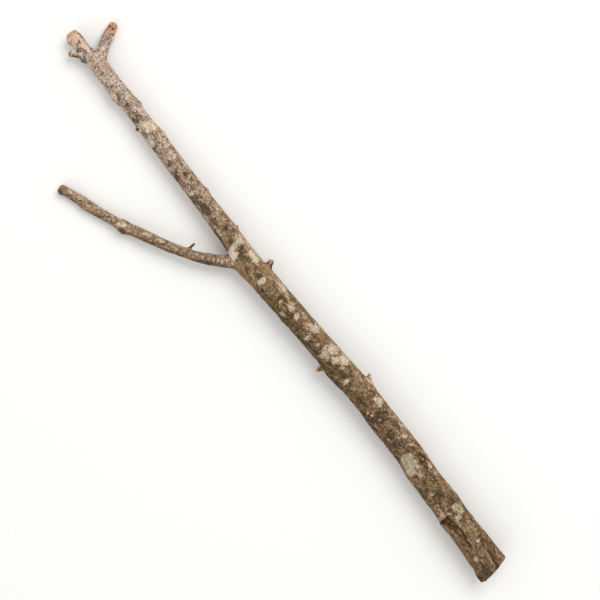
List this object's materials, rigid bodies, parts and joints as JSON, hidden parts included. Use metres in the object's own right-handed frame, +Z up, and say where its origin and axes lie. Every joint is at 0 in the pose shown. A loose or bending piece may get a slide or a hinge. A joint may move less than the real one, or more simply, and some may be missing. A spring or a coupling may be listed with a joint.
{
  "type": "fallen tree branch",
  "caption": "Weathered fallen branch, sawn at the butt, forking into a leader and a thinner side branch, with knots and broken twig stubs.",
  "frame": {"origin": "on the resting surface, under the middle of the branch's bounding box", "axes": "+X along the main stem from the sawn butt to the tips, +Y across it towards the side branch, +Z up as the branch lies"},
  "size_m": [0.6508, 0.144, 0.0323],
  "materials": {
    "old_bark": "rough, flaky grey-brown bark with lichen patches",
    "young_bark": "matt, finely cracked pale brown bark",
    "spur_bark": "matt pale bark running into bare orange-tan wood"
  },
  "bodies": {
    "root": {"lower_stem": "old_bark", "upper_stem": "young_bark", "side_branch": "young_bark", "top_spur": "spur_bark"}
  },
  "joints": []
}
